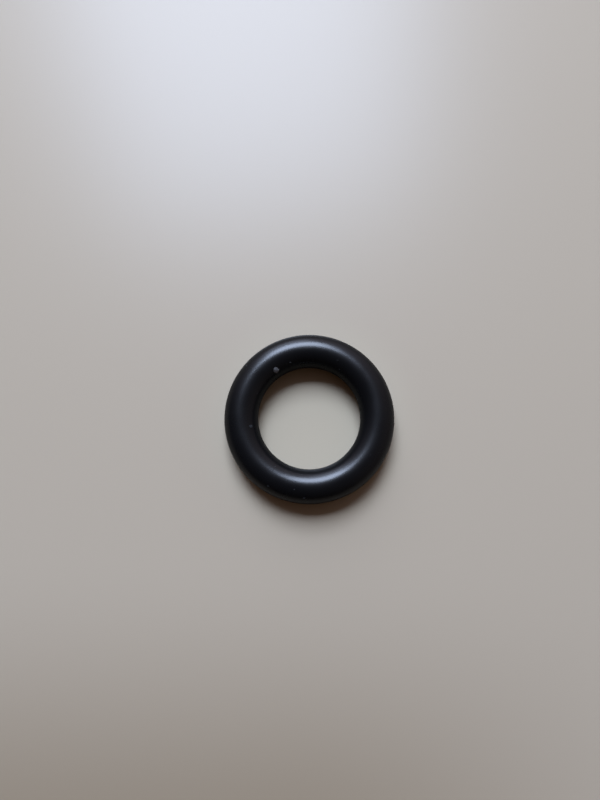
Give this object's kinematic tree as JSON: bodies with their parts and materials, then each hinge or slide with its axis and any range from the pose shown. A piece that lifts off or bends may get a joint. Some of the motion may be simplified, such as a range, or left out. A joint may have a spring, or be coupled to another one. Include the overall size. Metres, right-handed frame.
{
  "type": "rubber o-ring",
  "caption": "Plain moulded rubber o-ring of round section, squeezed in a groove to seal between two parts.",
  "frame": {"origin": "centre of the ring, in its middle plane", "axes": "+Z along the ring's axis and up as it lies flat; the ring is round, so X and Y are free"},
  "size_m": [0.0178, 0.0178, 0.0036],
  "materials": {
    "rubber": "satin"
  },
  "bodies": {
    "root": {"o_ring": "rubber"}
  },
  "joints": []
}
